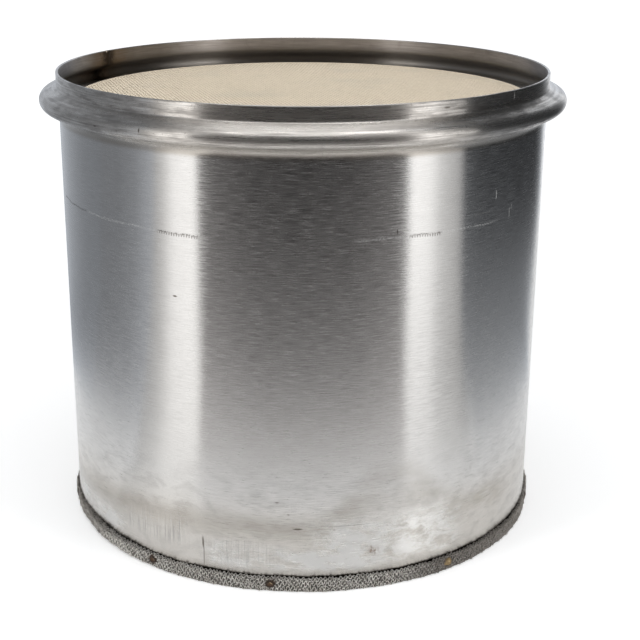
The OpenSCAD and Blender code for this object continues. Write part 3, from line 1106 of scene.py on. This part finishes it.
# Stage: white paper floor, soft light, and cards that only show in the metal

FLOOR_HALF = 9.0
# Glow of the paper near the object and far away, and the distances in millimetres between which it changes
FLOOR_LIFT = 0.40
FLOOR_LIFT_FAR = 0.62
FLOOR_FADE = (350.0, 1600.0)
WORLD_LEVEL = 0.55
WORLD_WHITE = 1.0
# Area lights: place, target, width, height, radiance
LIGHTS = {
    "strip_left": ((-0.740, -0.605, 0.62), (-0.062, -0.128, 0.14), 0.20, 1.2, 3.6),
    "strip_right": ((0.750, -0.592, 0.62), (0.066, -0.126, 0.14), 0.26, 1.2, 2.9),
    "softbox_top": ((0.0, -0.1, 1.7), (0.0, 0.0, 0.2), 1.0, 0.8, 1.5),
}
# Cards: the stops give brightness by azimuth, in degrees from the camera's side. Each row on the floor has a
# radius, a gain, a share of the paper's white, and degrees cut off its last and first end. The upright rows
# over the last radius have a height, a gain and a share of white.
CARD_RADII = (0.29, 0.35, 0.42, 0.53, 0.62, 0.72, 0.85, 1.40)
CARD_UNCUT = (0,) * len(CARD_RADII)
CARD_Z = 0.002
STRIP_Z = 0.003
STRIP_LEFT = dict(
    z=STRIP_Z,
    gain=(0.80, 0.84, 0.90, 0.88, 0.96, 1.02, 1.04, 1.04),
    white=(1, 0.40, 0, 0.08, 0.05, 0.03, 0, 0),
    upright=((0.8, 1, 0), (2.6, 0.35, 0)),
)
CARDS = {
    "card_front": dict(
        stops=((-45.5, 0.20), (-38, 0.10), (-20, 0.03), (0, 0.015), (20, 0.03), (38, 0.10), (45.5, 0.20)),
        tint=(1.03, 0.99, 0.985, 1),
        gain=(1, 5, 4.5, 2, 1.4, 1, 1, 1),
        white=(1, 0.88, 0.03, 0.19, 0.20, 0.03, 0, 0),
        upright=((2.6, 1, 0.18),),
    ),
    "card_fade_left": dict(
        stops=((-100, 0.27), (-88, 0.27), (-77, 0.345), (-66, 0.60)),
        tint=(0.94, 0.98, 1.05, 1),
        **STRIP_LEFT,
    ),
    "card_strip_left": dict(
        stops=((-66, 0.60), (-61.5, 0.90), (-56.5, 1.46), (-45.5, 1.66)),
        tint=(1.0, 0.99, 0.98, 1),
        cut=(-7, -7, -6, -4, -3, -1, -0.5, 0),
        **STRIP_LEFT,
    ),
    "card_strip_low": dict(
        stops=((-64, 0.95), (-56, 1.2), (-50, 1.34), (-42, 1.28), (-36, 0.95)),
        tint=(1.0, 0.995, 0.985, 1),
        radii=(0.17, 0.29),
        z=STRIP_Z,
        gain=(0.85, 1),
        white=(0, 0),
    ),
    "card_left": dict(
        stops=((-206, 0.95), (-180, 0.75), (-150, 0.60), (-135, 0.46), (-115, 0.32), (-100, 0.29)),
        tint=(0.92, 0.975, 1.06, 1),
        gain=(1, 1, 0.90, 0.95, 1, 1, 1, 1),
        white=(1, 0.40, 0, 0.04, 0.06, 0.03, 0, 0),
        upright=((0.8, 0.85, 0), (2.6, 0.35, 0)),
    ),
    "card_strip_right": dict(
        stops=((45.5, 1.55), (56, 1.42), (61, 0.93), (73, 0.54)),
        tint=(0.99, 0.985, 0.98, 1),
        z=STRIP_Z,
        gain=(0.66, 0.72, 0.78, 0.86, 0.95, 1.10, 1.15, 1.15),
        white=(1, 0.55, 0.10, 0.21, 0.16, 0.06, 0, 0),
        cut=(4, 4, 4, 3, 2, 0, 0, 0),
        lead=(-6, -6, -5.5, -4.5, -2.5, -1, 0, 0),
        upright=((2.6, 1, 0.18),),
    ),
    "card_right": dict(
        stops=((73, 0.09), (84, 0.03), (110, 0.03), (134, 0.05), (141, 0.20), (150, 0.85)),
        tint=(0.94, 0.985, 1.05, 1),
        gain=(1,) * len(CARD_RADII),
        white=(1, 0.60, 0.36, 0.37, 0.32, 0.12, 0, 0),
        cut=(24, 23, 22, 17, 12, 8, 2, 0),
        lead=(0, -4, -4, -3, -2, 0, 0, 0),
        upright=((2.6, 1, 0.10),),
    ),
}
CARD_WHITE = 0.85
CARD_COLUMNS = 41
# Bright panel over the object: height, half width, near and far edge, brightness
CARD_TOP = (1.6, 0.55, -0.55, 0.35, 2.8)


def floor_paper():
    t = new_material("floor_paper")
    place, _ = t.object_mm()
    paper = t.add("BsdfDiffuse", {"Color": t.mix(t.noise(place, 0.02, 3.0, 0.5), PAPER_DARK, PAPER_PALE)})
    # The paper glows more the farther it runs back
    away = t.vector("LENGTH", place)["Value"]
    lift = t.step(away, *FLOOR_FADE, FLOOR_LIFT, FLOOR_LIFT_FAR)
    glow = t.add("Emission", {"Color": WHITE, "Strength": t.times(t.seen(), lift)})
    return t.surface(t.add("AddShader", {0: paper.outputs[0], 1: glow.outputs[0]}))


def card_glow(name, tint):
    t = new_material(name)
    return t.surface(t.add("Emission", {"Color": tint, "Strength": t.attribute("glow")}))


def flat_sheet(name, left, right, near, far, z, material):
    """Level rectangle, its sides and height in metres."""
    verts = [(x / MM, y / MM, z / MM) for x, y in ((left, near), (right, near), (right, far), (left, far))]
    return mesh_piece(name, verts, [[0, 1, 2, 3]], [material], False)


def show_in_metal_only(card):
    card.visible_camera = False
    card.visible_diffuse = False
    card.visible_shadow = False
    card.visible_transmission = False


def make_card_top():
    z, half, near, far, level = CARD_TOP
    card = flat_sheet("card_top", -half, half, near, far, z, card_glow("card_top_glow", WHITE))
    float_attribute(card, "glow", [level] * 4)
    show_in_metal_only(card)


def make_card(name, stops, tint, gain, white, cut=CARD_UNCUT, lead=CARD_UNCUT, upright=(),
              radii=CARD_RADII, z=CARD_Z):
    rows = list(zip(radii, [z] * len(radii), gain, white, cut, lead))
    rows += [(radii[-1], *row, 0, 0) for row in upright]
    places, levels = zip(*stops)
    first, wide = places[0], places[-1] - places[0]
    share = np.linspace(0.0, 1.0, CARD_COLUMNS)
    level = np.interp(first + share * wide, places, levels)
    verts, glow = [], []
    for r, height, row_gain, row_white, row_cut, row_lead in rows:
        turns = np.radians(first + row_lead + share * (wide - row_cut - row_lead))
        level_line = np.full(CARD_COLUMNS, height)
        verts += np.stack([r * np.sin(turns), -r * np.cos(turns), level_line], -1).tolist()
        lit = row_gain * level
        glow += (lit + np.clip(CARD_WHITE - lit, 0, None) * row_white).tolist()
    n = CARD_COLUMNS
    starts = [p * n + a for p in range(len(rows) - 1) for a in range(n - 1)]
    faces = [[k, k + 1, k + n + 1, k + n] for k in starts]
    card = mesh_piece(name, np.asarray(verts) / MM, faces, [card_glow(name + "_glow", tint)], False)
    float_attribute(card, "glow", glow)
    show_in_metal_only(card)


def make_world():
    """White to the eye and in metal, softer as a light."""
    bpy.context.scene.world = bpy.data.worlds.new("world")
    t = Tree(bpy.context.scene.world, "OutputWorld")
    level = t.line(t.seen(), 0.0, 1.0, WORLD_LEVEL, WORLD_WHITE)
    t.surface(t.add("Background", {"Color": SKY, "Strength": level}))


def make_stage():
    h = FLOOR_HALF
    floor = flat_sheet("floor", -h, h, -h, h, 0.0, floor_paper())
    for name, card in CARDS.items():
        make_card(name, **card)
    make_card_top()
    for name, light in LIGHTS.items():
        area_light(name, *light).visible_glossy = False
    make_world()


bpy.context.scene.view_settings.view_transform = "Standard"
make_camera()
make_can()
comb_material = ceramic()
make_comb_face("comb_inlet", INLET_Z, 1, True, ("substrate", "inlet_plugs"), comb_material)
make_comb_face("comb_outlet", OUTLET_RECESS, -1, False, ("outlet_plugs",), comb_material)
make_comb_skin(comb_material)
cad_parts["mounting_mat"].data.materials.clear()
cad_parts["mounting_mat"].data.materials.append(mat_fibre())
make_knit()
make_gasket_core()
make_tacks()
make_stage()
